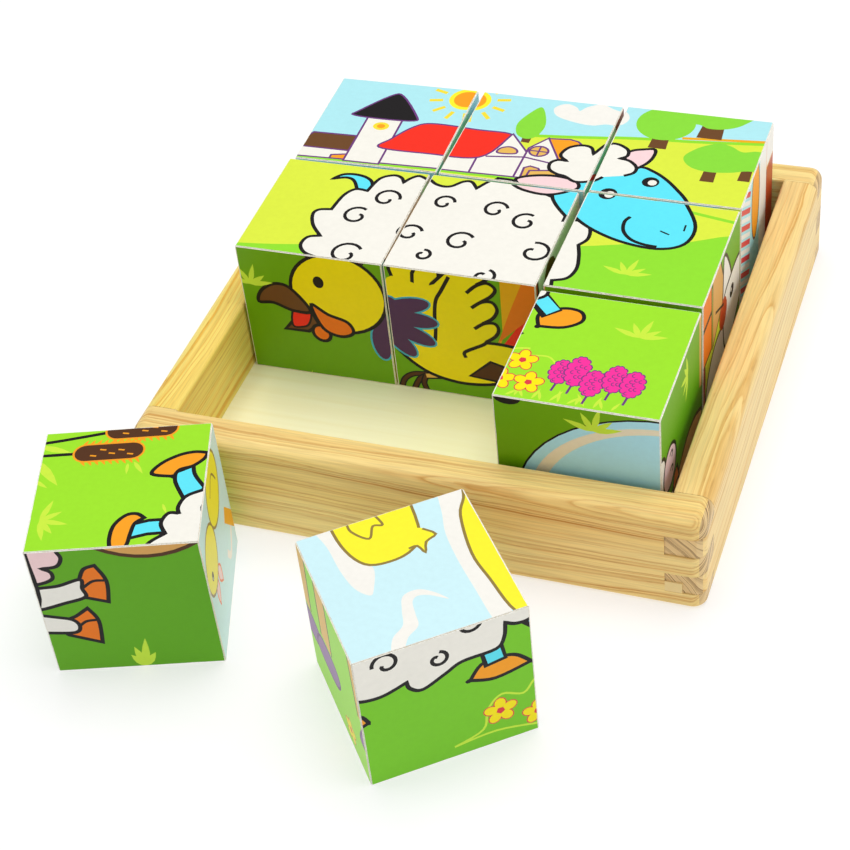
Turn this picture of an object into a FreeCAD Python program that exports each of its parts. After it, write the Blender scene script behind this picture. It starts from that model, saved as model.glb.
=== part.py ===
import FreeCAD
import Part

import os

# Nine picture cubes and the square box-jointed wooden tray that holds them, in millimetres.
# Seven cubes stand in the tray and two stand loose in front of it.
# The origin is the centre of the whole set's footprint, on the surface it stands on.
# +X is to the right, +Y to the back, +Z up. Shapes are made about the tray's centre, then moved.

# Tray
TRAY_CENTRE = (5.2, 34.2)
INNER = 126.0            # clear width between facing rails: three cubes and 6 mm of play
WALL = 9.5               # rail thickness
RAIL_HEIGHT = 28.0
FINGER_START = 4.6       # bottom of the lowest side-rail finger
FINGER_PITCH = 6.0       # height of one finger of the corner joint
FINGER_RECESS = 0.35     # side-rail end grain lies this far below the front and back faces
GLUE_LINE = 0.1          # open line above and below each side-rail finger and at its shoulders
CORNER_ROUND = 3.5       # upright outside corners
TOP_ROUND = 3.2          # outside top edges
BOTTOM_ROUND = 1.4       # outside bottom edges
INNER_ROUND = 0.8        # inside top edges

# Base panel, held in a groove round the inside of the rails
PANEL_THICKNESS = 3.2
PANEL_BOTTOM = FINGER_START
GROOVE_DEPTH = 4.2
GROOVE_PLAY = 0.2        # the panel's edge stops this far short of the groove's floor

# Cubes
CUBE = 40.0              # over the paper pictures
PAPER = 0.2              # thickness of one glued picture
PICTURE = 39.56          # side of one square picture
PICTURE_CORNER = 0.3     # its rounded corners
CORE_EASE = 0.2          # bevel on the bare wooden cube's edges

# Derived places
INNER_HALF = INNER / 2
OUTER_HALF = INNER_HALF + WALL
FLOOR_TOP = PANEL_BOTTOM + PANEL_THICKNESS
CORE = CUBE - 2 * PAPER
FINGER_BOTTOMS = (FINGER_START, FINGER_START + 2 * FINGER_PITCH)

# Where each cube stands, from the tray's centre: name, x, y, underside height, turn in degrees
CUBES = (
    ("back_left", -41.8, 40.4, FLOOR_TOP, 1.2),
    ("back_centre", -0.6, 40.6, FLOOR_TOP, -0.2),
    ("back_right", 40.4, 41.0, FLOOR_TOP, 0.0),
    ("middle_left", -42.4, -0.4, FLOOR_TOP, 0.6),
    ("middle_centre", -1.8, -0.1, FLOOR_TOP, 0.0),
    ("middle_right", 40.1, 0.4, FLOOR_TOP, -0.4),
    ("front_right", 39.9, -41.4, FLOOR_TOP, -0.2),
    ("loose_left", -57.7, -102.7, 0.0, 18.8),
    ("loose_right", 16.8, -113.0, 0.0, 38.7),
)


def box(x0, y0, z0, x1, y1, z1):
    """A block between two opposite corners."""
    return Part.makeBox(x1 - x0, y1 - y0, z1 - z0, FreeCAD.Vector(x0, y0, z0))


def edges_where(shape, test):
    """The shape's edges whose bounding boxes pass the test."""
    return [edge for edge in shape.Edges if test(edge.BoundBox)]


def check(name, shape):
    """Stops on a shape that is not sound."""
    if not shape.isValid() or shape.Volume <= 0:
        raise ValueError(name + " is not a sound solid")


def export(name, shape):
    """Moves one node from the tray's frame to the set's frame and writes its STEP file."""
    check(name, shape)
    moved = shape.copy()
    moved.translate(FreeCAD.Vector(*TRAY_CENTRE, 0))
    moved.exportStep("parts/" + name + ".step")
    print(name, round(shape.Volume, 1), len(shape.Solids))


def rounded_ring():
    """The whole tray frame as one ring, with its rounded edges and the panel groove."""
    ring = box(-OUTER_HALF, -OUTER_HALF, 0, OUTER_HALF, OUTER_HALF, RAIL_HEIGHT)
    uprights = edges_where(ring, lambda b: b.ZLength > RAIL_HEIGHT / 2)
    ring = ring.makeFillet(CORNER_ROUND, uprights)
    top = edges_where(ring, lambda b: b.ZMin > RAIL_HEIGHT - 0.01)
    ring = ring.makeFillet(TOP_ROUND, top)
    bottom = edges_where(ring, lambda b: b.ZMax < 0.01)
    ring = ring.makeFillet(BOTTOM_ROUND, bottom)
    well = box(-INNER_HALF, -INNER_HALF, -1, INNER_HALF, INNER_HALF, RAIL_HEIGHT + 1)
    ring = ring.cut(well)
    reach = INNER_HALF + 0.01
    inside = edges_where(
        ring,
        lambda b: b.ZMin > RAIL_HEIGHT - 0.01
        and max(abs(b.XMin), abs(b.XMax), abs(b.YMin), abs(b.YMax)) < reach,
    )
    ring = ring.makeFillet(INNER_ROUND, inside)
    groove_half = INNER_HALF + GROOVE_DEPTH
    return ring.cut(
        box(-groove_half, -groove_half, PANEL_BOTTOM, groove_half, groove_half, FLOOR_TOP)
    )


def end_rail(ring, y_sign):
    """The front (-1) or back (+1) rail: full width, with two sockets at each end."""
    reach = OUTER_HALF + 1
    y0, y1 = sorted((y_sign * INNER_HALF, y_sign * reach))
    rail = ring.common(box(-reach, y0, -1, reach, y1, RAIL_HEIGHT + 1))
    for z in FINGER_BOTTOMS:
        for x0, x1 in ((-reach, -INNER_HALF), (INNER_HALF, reach)):
            rail = rail.cut(box(x0, y0, z, x1, y1, z + FINGER_PITCH))
    return rail


def side_rail(ring, x_sign):
    """The left (-1) or right (+1) rail: between the other two, with two fingers at each end."""
    x0, x1 = sorted((x_sign * INNER_HALF, x_sign * (OUTER_HALF + 1)))
    limit = OUTER_HALF - FINGER_RECESS
    shoulder = INNER_HALF - GLUE_LINE
    region = box(x0, -shoulder, -1, x1, shoulder, RAIL_HEIGHT + 1)
    for y_sign in (-1, 1):
        y0, y1 = sorted((y_sign * shoulder, y_sign * limit))
        for z in FINGER_BOTTOMS:
            region = region.fuse(
                box(x0, y0, z + GLUE_LINE, x1, y1, z + FINGER_PITCH - GLUE_LINE)
            )
    rail = ring.common(region.removeSplitter())
    groove_x = sorted((x_sign * INNER_HALF, x_sign * (INNER_HALF + GROOVE_DEPTH)))
    return rail.cut(
        box(groove_x[0], -OUTER_HALF, PANEL_BOTTOM, groove_x[1], OUTER_HALF, FLOOR_TOP)
    )


def groove_plugs():
    """Four slips of wood, sanded flush, that close the groove where it runs out of the side rails."""
    plugs = []
    panel_half = INNER_HALF + GROOVE_DEPTH - GROOVE_PLAY
    for x_sign in (-1, 1):
        x0, x1 = sorted((x_sign * INNER_HALF, x_sign * (INNER_HALF + GROOVE_DEPTH)))
        for y_sign in (-1, 1):
            y0, y1 = sorted((y_sign * panel_half, y_sign * OUTER_HALF))
            plugs.append(box(x0, y0, PANEL_BOTTOM + GLUE_LINE, x1, y1, FLOOR_TOP))
    return Part.makeCompound(plugs)


def base_panel():
    """The thin floor of the tray, with its corners cut square in the groove."""
    half = INNER_HALF + GROOVE_DEPTH - GROOVE_PLAY
    return box(-half, -half, PANEL_BOTTOM, half, half, FLOOR_TOP)


def cube_core():
    """A bare wooden cube with slightly bevelled edges, centred on the origin."""
    half = CORE / 2
    core = box(-half, -half, -half, half, half, half)
    return core.makeChamfer(CORE_EASE, core.Edges)


def picture():
    """One square of printed paper, lying on top of a core."""
    half = PICTURE / 2
    sheet = box(-half, -half, CORE / 2, half, half, CUBE / 2)
    corners = edges_where(sheet, lambda b: b.ZLength > PAPER / 2)
    return sheet.makeFillet(PICTURE_CORNER, corners)


def turned(shape, axis, degrees):
    """A copy turned about an axis through the origin."""
    copy = shape.copy()
    copy.rotate(FreeCAD.Vector(0, 0, 0), FreeCAD.Vector(*axis), degrees)
    return copy


def cube_pieces():
    """The pieces of one cube about its own centre: the core and the pictures on its six faces."""
    sheet = picture()
    sides = [turned(sheet, (0, 1, 0), angle) for angle in (90, -90)]
    return {
        "core": cube_core(),
        "top_picture": sheet,
        "bottom_picture": turned(sheet, (1, 0, 0), 180),
        "front_picture": turned(sheet, (1, 0, 0), 90),
        "back_picture": turned(sheet, (1, 0, 0), -90),
        "side_pictures": Part.makeCompound(sides),
    }


def build():
    """Makes every piece of the tray and of the nine cubes."""
    os.makedirs("parts", exist_ok=True)
    ring = rounded_ring()
    export("front_rail", end_rail(ring, -1))
    export("back_rail", end_rail(ring, 1))
    export("left_rail", side_rail(ring, -1))
    export("right_rail", side_rail(ring, 1))
    export("base_panel", base_panel())
    export("groove_plugs", groove_plugs())
    pieces = cube_pieces()
    for name, x, y, underside, degrees in CUBES:
        for piece, shape in pieces.items():
            placed = turned(shape, (0, 0, 1), degrees)
            placed.translate(FreeCAD.Vector(x, y, underside + CUBE / 2))
            export(name + "_cube_" + piece, placed)


build()
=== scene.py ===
import math

import bpy
import numpy as np
from mathutils import Matrix, Vector, noise
from mathutils.geometry import delaunay_2d_cdt


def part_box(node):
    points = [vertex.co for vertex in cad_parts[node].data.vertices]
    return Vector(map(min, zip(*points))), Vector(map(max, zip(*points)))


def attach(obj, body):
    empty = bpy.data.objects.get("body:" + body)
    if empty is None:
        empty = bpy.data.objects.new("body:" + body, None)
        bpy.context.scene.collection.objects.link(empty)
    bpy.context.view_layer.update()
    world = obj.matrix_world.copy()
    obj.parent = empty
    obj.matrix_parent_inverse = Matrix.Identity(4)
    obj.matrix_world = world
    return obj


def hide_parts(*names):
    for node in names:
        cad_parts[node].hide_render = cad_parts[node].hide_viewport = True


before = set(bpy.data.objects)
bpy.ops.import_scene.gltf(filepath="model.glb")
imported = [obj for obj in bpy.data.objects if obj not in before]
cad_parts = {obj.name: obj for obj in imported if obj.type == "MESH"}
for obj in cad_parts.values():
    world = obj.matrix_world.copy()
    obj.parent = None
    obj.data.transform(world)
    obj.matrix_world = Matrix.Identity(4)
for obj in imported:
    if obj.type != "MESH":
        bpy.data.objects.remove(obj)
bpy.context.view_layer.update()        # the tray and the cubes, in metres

# The set is a pine tray and nine wooden cubes. Six pictures are cut into nine squares each, and
# every cube carries one square of each picture. The pictures are drawn as plain shapes in
# millimetres, 120 mm square, with x to the right and y up.
MM = 0.001
TILE = 40.0              # one cube's share of a picture
PRINT_HALF = 19.69       # half the widest print on one paper square
PAPER_HALF = 19.78       # half the paper square itself, below its bevelled edge
CORNER = 0.16            # radius of the paper's corners
EDGE_BEVEL = 0.04        # usual depth and width of the worn bevel round the paper
BARE_EDGE = 0.09         # usual width of the unprinted edge
LEAST_BEVEL = 0.015      # the bevel is nowhere narrower than this
PAPER = 0.20             # paper thickness
LINE = 1.0               # width of the pictures' black outlines

PICTURE_ROWS = (         # which cube holds which square of every picture, seen from above
    ("back_left", "back_centre", "back_right"),
    ("middle_left", "middle_centre", "middle_right"),
    ("loose_left", "loose_right", "front_right"),
)


def add_object(name, data):
    """A new object in the scene."""
    made = bpy.data.objects.new(name, data)
    bpy.context.scene.collection.objects.link(made)
    return made


# ---------------------------------------------------------------- inks

def ink(red, green, blue):
    """A printed colour given in 0 to 255, as the renderer's linear colour."""
    linear = []
    for value in (red, green, blue):
        share = value / 255
        linear.append(share / 12.92 if share <= 0.04045 else ((share + 0.055) / 1.055) ** 2.4)
    return (*linear, 1.0)


PAPER_WHITE = (*ink(238, 235, 224)[:3], 0.0)
INKS = {
    "paper": PAPER_WHITE,
    "black": ink(22, 18, 20),
    "sky": ink(178, 236, 243),
    "cloud": ink(247, 244, 236),
    "white": ink(247, 244, 234),
    "wool": ink(247, 244, 234),
    "lime": ink(224, 240, 66),
    "grass": ink(148, 228, 46),
    "meadow": ink(160, 231, 40),
    # painted shade: the meadow green darkened for the one square that lies on a cube's front face
    "meadow_painted_shade": ink(124, 206, 35),
    "pasture": ink(112, 172, 6),
    "field": ink(100, 175, 15),
    "tuft": ink(206, 240, 66),
    "leaf": ink(140, 224, 58),
    "straw": ink(250, 228, 58),
    "blue": ink(96, 232, 250),
    "pink": ink(250, 216, 218),
    "orange": ink(253, 164, 28),
    "deep_orange": ink(244, 124, 20),
    "yellow": ink(255, 236, 0),
    "chick": ink(255, 245, 46),
    "red": ink(250, 46, 26),
    "brown": ink(110, 70, 34),
    "dark_brown": ink(84, 48, 22),
    "tan": ink(224, 168, 92),
    "mauve": ink(112, 60, 128),
    "plum": ink(84, 50, 96),
    "teal": ink(70, 180, 215),
    "magenta": ink(250, 48, 160),
    "crimson": ink(226, 60, 70),
    "water": ink(208, 243, 249),
    "pond": ink(178, 234, 250),
    "sand": ink(240, 232, 204),
    "khaki": ink(150, 128, 62),
    "ochre": ink(236, 188, 92),
    "violet": ink(150, 108, 170),
    "amber": ink(244, 176, 10),
    "rust": ink(190, 66, 26),
}


# ---------------------------------------------------------------- outlines

def smooth(points, closed=True, steps=5):
    """A rounded curve through a few points."""
    count = len(points)
    at = (lambda i: points[i % count]) if closed else (lambda i: points[min(max(i, 0), count - 1)])
    curve = []
    for i in range(count if closed else count - 1):
        before, start, stop, after = (np.array(at(i + k), float) for k in (-1, 0, 1, 2))
        for step in range(steps):
            t = step / steps
            curve.append(
                0.5 * (
                    2 * start
                    + (stop - before) * t
                    + (2 * before - 5 * start + 4 * stop - after) * t ** 2
                    + (3 * start - before - 3 * stop + after) * t ** 3
                )
            )
    if not closed:
        curve.append(np.array(points[-1], float))
    return curve


def oval(x, y, rx, ry=None, turn=0.0, start=0.0, stop=360.0, steps=26):
    """An ellipse, or a stretch of one, turned by some degrees."""
    ry = rx if ry is None else ry
    lean = math.radians(turn)
    curve = []
    whole = abs(stop - start) >= 360
    for i in range(steps if whole else steps + 1):
        angle = math.radians(start + (stop - start) * i / steps)
        across, up = rx * math.cos(angle), ry * math.sin(angle)
        curve.append((
            x + across * math.cos(lean) - up * math.sin(lean),
            y + across * math.sin(lean) + up * math.cos(lean),
        ))
    return curve


def puffs(x, y, rx, ry, count, height, turn=0.0, steps=7):
    """The edge of a cloud or a tufted flower: round puffs that stand out from an oval."""
    knots = []
    for i in range(count):
        angle = math.radians(turn) + math.tau * i / count
        knots.append(np.array((x + rx * math.cos(angle), y + ry * math.sin(angle))))
    curve = []
    for i, start in enumerate(knots):
        chord = knots[(i + 1) % count] - start
        outward = np.array((chord[1], -chord[0]))
        for step in range(steps):
            angle = math.pi * step / steps
            along = (1 - math.cos(angle)) / 2
            curve.append(start + chord * along + outward * height * math.sin(angle))
    return curve


def curl(x, y, radius, start, hand=1):
    """A hooked curl that turns nearly once round, to the left (1) or to the right (-1)."""
    curve = []
    for share in np.linspace(0, 1, 19):
        angle = math.radians(start + hand * 335 * share)
        reach = radius * (1 - 0.78 * share ** 4)
        curve.append((x + reach * math.cos(angle), y + reach * math.sin(angle)))
    return curve


def scallops(*lobes):
    """An outline of rounded lobes; each one is a short curve, and they meet in notches."""
    return [point for lobe in lobes for point in smooth(lobe, False)]


def blade(x, y, length, width, lean):
    """One pointed leaf that rises from (x, y)."""
    angle = math.radians(lean)
    along = np.array((math.cos(angle), math.sin(angle)))
    across = np.array((-along[1], along[0]))
    root = np.array((x, y), float)
    sides = []
    for side in (1, -1):
        stretch = [root + along * length * t + side * across * width * math.sin(math.pi * t ** 0.8)
                   for t in (0.0, 0.2, 0.45, 0.7, 0.88, 1.0)]
        sides.append(stretch)
    return sides[0] + sides[1][-2:0:-1]


def band(points, width, closed=False):
    """A line of even width along a path."""
    path = [np.array(p, float) for p in points]
    path = [p for i, p in enumerate(path) if i == 0 or np.linalg.norm(p - path[i - 1]) > 1e-4]
    if closed:
        path = path + path[:1]
    last = len(path) - 1
    left, right = [], []
    for i, here in enumerate(path):
        before = path[i - 1] if i else (path[last - 1] if closed else None)
        after = path[i + 1] if i < last else (path[1] if closed else None)
        ways = []
        for start, stop in ((before, here), (here, after)):
            if start is not None and stop is not None:
                way = stop - start
                ways.append(way / max(np.linalg.norm(way), 1e-9))
        mean = sum(ways)
        size = np.linalg.norm(mean)
        mean = ways[0] if size < 0.2 else mean / size
        square = np.array((-mean[1], mean[0]))
        spread = abs(float(mean @ ways[0]))
        reach = width / 2 / max(spread, 0.6)
        left.append(here + square * reach)
        right.append(here - square * reach)
    return left + right[::-1]


# ---------------------------------------------------------------- drawing

class Drawing:
    """The shapes of one picture, in painting order: a later shape covers an earlier one."""

    def __init__(self, ground):
        self.shapes = []
        self.fill([(-5, -5), (125, -5), (125, 125), (-5, 125)], ground)

    def fill(self, points, colour):
        """A shape without an edge."""
        self.shapes.append((np.array([tuple(p) for p in points], float), colour))

    def line(self, points, colour="black", width=LINE, closed=False):
        """A line from point to point."""
        self.fill(band(points, width, closed), colour)

    def shape(self, points, colour, edge="black", width=LINE):
        """A filled shape with a drawn edge."""
        self.fill(points, colour)
        self.line(points, edge, width, closed=True)

    def patch(self, points, colour):
        """A rounded shape without an edge."""
        self.fill(smooth(points), colour)

    def blob(self, points, colour, edge="black", width=LINE):
        """A rounded shape with a drawn edge."""
        self.shape(smooth(points), colour, edge, width)

    def stroke(self, points, colour="black", width=LINE):
        """A curved line."""
        self.line(smooth(points, False), colour, width)

    def tuft(self, x, y, size):
        """Five blades of grass."""
        for lean, share in ((12, 0.95), (38, 0.8), (76, 1.0), (118, 0.8), (160, 1.0)):
            self.fill(blade(x, y, size * share, size * 0.11, lean), "tuft")

    def flower(self, x, y, radius):
        """A yellow blossom of five petals."""
        far = radius * 0.6
        for rim, tint in ((0.28, "crimson"), (0.0, "yellow")):
            for i in range(5):
                angle = math.tau * (i + 0.25) / 5
                petal = oval(x + far * math.cos(angle), y + far * math.sin(angle),
                             radius * 0.42 + rim, radius * 0.34 + rim, math.degrees(angle), steps=12)
                self.fill(petal, tint)
        self.fill(oval(x, y, radius * 0.24, steps=10), "crimson")

    def eye(self, x, y, radius):
        """A round eye with a glint."""
        self.fill(oval(x, y, radius, radius * 1.15, steps=16), "black")
        self.fill(oval(x + radius * 0.3, y + radius * 0.35, radius * 0.34, steps=10), "white")

    def trunk(self, x, y, width, height):
        """A tree's trunk, slightly narrower at the top."""
        self.fill([(x - width / 2, y), (x + width / 2, y), (x + width / 2.3, y + height),
                   (x - width / 2.3, y + height)], "brown")

    def tree(self, x, y, rx, ry, trunk):
        """A round tree about the centre of its leaves."""
        self.trunk(x, y - ry * 1.45, trunk, ry)
        self.fill(oval(x, y, rx, ry, steps=36), "leaf")

    def cloud(self, x, y, rx, ry):
        """A cloud of eight puffs."""
        self.fill(puffs(x, y, rx, ry, 8, 0.36, turn=10), "cloud")

    def sun(self, x, y, radius):
        """A sun with a yellow rim and twelve rays."""
        for i in range(12):
            angle = math.tau * i / 12 + 0.2
            c, s = math.cos(angle), math.sin(angle)
            self.line([(x + radius * 1.8 * c, y + radius * 1.8 * s),
                       (x + radius * 2.8 * c, y + radius * 2.8 * s)], "straw", radius * 0.32)
        self.fill(oval(x, y, radius * 1.36), "chick")
        self.fill(oval(x, y, radius), "orange")


def landscape(hill=82.0, far="lime", near="grass", low="meadow"):
    """Sky over two fields."""
    art = Drawing("sky")
    art.patch([
        (-20, hill - 1), (20, hill), (62, hill + 1), (90, hill + 12), (140, hill + 18), (150, -30),
        (-30, -30),
    ], far)
    art.patch([
        (-40, 38), (0, 42), (34, 46), (70, 50), (100, 62), (140, 66), (170, -40), (-50, -40),
    ], near)
    art.fill([(-5, 40), (125, 40), (125, -5), (-5, -5)], low)
    return art


def sheep_picture():
    """A sheep trots through a meadow in front of a farm."""
    art = Drawing("sky")
    art.fill([
        (-20, 81), (48, 82.5), (54, 94), (59, 101.2), (70, 102.7), (78, 103.9), (90, 105.4),
        (100, 106.2), (110, 107.4), (125, 109.4), (125, -5), (-20, -5),
    ], "lime")
    art.fill([(-5, 80), (60, 81), (62, 82.6), (30, 82.4), (-5, 82)], "grass")
    art.stroke([
        (58, 101.6), (70, 103.2), (78, 104.4), (90, 105.9), (100, 106.7), (110, 107.9), (125, 109.9),
    ], "grass", 1.3)
    art.stroke([(98, 107.9), (110, 109.2), (125, 110.8)], "amber", 1.1)
    art.patch([
        (-40, 38), (0, 41.5), (22, 45), (60, 52), (84, 57), (104, 62), (140, 64), (170, -40),
        (-50, -40),
    ], "grass")
    art.stroke([(98, 79), (110, 76.4), (124, 74)], "grass", 1.1)
    art.fill([(-5, 40), (125, 40), (125, -5), (-5, -5)], "meadow")
    # Painted shade: the meadow on this one square, which lies on the rolled cube's front face, is
    # darkened to stand in for the shade there.
    art.fill([(TILE, 40), (2 * TILE, 40), (2 * TILE, -5), (TILE, -5)], "meadow_painted_shade")
    art.sun(38.3, 115.1, 3.8)
    art.patch([
        (61.6, 115), (62.6, 117.4), (65, 118.4), (67.6, 117.2), (68.8, 115.8), (70.4, 118), (74, 120),
        (77.4, 118.4), (80.6, 117), (82, 114), (80.6, 110.9), (77.4, 110.8), (74, 109.6), (69, 110.1),
        (63.6, 112),
    ], "cloud")
    art.trunk(92.5, 102, 4.9, 6)
    art.fill(oval(92.2, 113.8, 8.0, 7.8, steps=40), "leaf")
    art.trunk(104.9, 109, 6.8, 6)
    art.patch([
        (92, 112), (100, 115), (104, 113.6), (109, 114.4), (113, 117.6), (115, 124), (92, 124),
    ], "leaf")
    art.trunk(108.6, 89.8, 3.7, 6)
    art.trunk(117.8, 91.8, 3.2, 5)
    art.patch([
        (100.4, 100), (101.4, 97), (104.4, 94.8), (109, 94.2), (114, 95), (118, 96.4), (125, 97),
        (125, 103.6), (119, 105.6), (115, 104.6), (111.6, 106.6), (108.4, 107.4), (105, 105.8),
        (102.4, 103.4),
    ], "leaf")
    farm(art)
    sheep(art)
    marsh(art)
    flower_bed(art)
    art.tuft(98.6, 48.4, 6.8)
    art.tuft(108, 27.4, 7.2)
    art.tuft(30, 2.5, 7)
    return art


def farm(art):
    """White farm buildings with purple outlines."""

    def wall(points, colour):
        art.shape(points, colour, "mauve", 0.6)

    wall([(-3, 81), (13.6, 81.5), (13.6, 87), (-3, 87)], "white")
    wall([(9.4, 81.4), (13.6, 81.5), (13.6, 84), (9.4, 83)], "orange")
    wall([(-3, 85.6), (1, 92.6), (14, 92.8), (14, 85.6)], "brown")
    wall([(13.5, 81), (23.5, 81), (23.5, 102), (13.5, 102)], "white")
    art.fill(oval(18.5, 98.4, 2.3, 1.9, steps=14), "straw")
    art.fill(oval(18.5, 98.4, 1.2, 1.0, steps=10), "orange")
    wall(smooth([
        (9.2, 102.4), (10, 104.8), (16.6, 113.4), (20, 113.8), (26.6, 105), (26.8, 102.4), (18, 101.8),
    ], steps=4), "black")
    wall([(23.5, 81.5), (49.5, 82), (49.5, 90), (23.5, 90)], "white")
    wall([(47.8, 82), (60, 82.4), (60.4, 93.8), (54.2, 101.5), (47.8, 89)], "white")
    wall(smooth([
        (21.2, 88.6), (23.2, 93), (27.4, 99.4), (32, 102), (44, 101.6), (52.6, 101.6), (53.4, 99.4),
        (48.4, 89.2), (34, 88),
    ], steps=6), "red")
    art.line([(50, 90), (60.4, 91.7)], "mauve", 0.6)
    wall(smooth([(52.4, 92.4), (52.8, 94.4), (55, 95.5), (57.2, 94.6), (57.6, 92.9), (55, 92.2)]),
         "ochre")
    wall([(64.4, 101.3), (70, 102), (72.4, 101.4), (75, 99), (75, 90), (68, 90)], "orange")
    wall([(60, 82.4), (74, 83), (72, 90), (69.4, 92.4), (64.2, 101.5), (60.2, 96)], "white")
    art.line([(60.2, 91.7), (69, 90.1)], "mauve", 0.6)
    wall(oval(63.3, 95, 2.6, 2.3, steps=18), "ochre")
    art.line([(60.8, 95), (65.8, 95)], "mauve", 0.5)
    art.line([(63.3, 92.8), (63.3, 97.2)], "mauve", 0.5)
    wall([(61.8, 82.8), (61.6, 87), (63, 88), (65.4, 87.4), (66.4, 86), (63.2, 83)], "ochre")
    wall([(63.2, 83.2), (63.4, 86), (70, 87.4), (73, 85.4), (66, 83.8)], "ochre")
    art.fill([(57.2, 98.4), (59.5, 98.2), (59.6, 101.4), (57, 101.4)], "brown")
    art.patch([
        (58, 115.5), (60.2, 112), (61.6, 106.6), (60.6, 101.6), (58, 100), (55, 101.8), (53.8, 106.6),
        (55.6, 112),
    ], "leaf")


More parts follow.
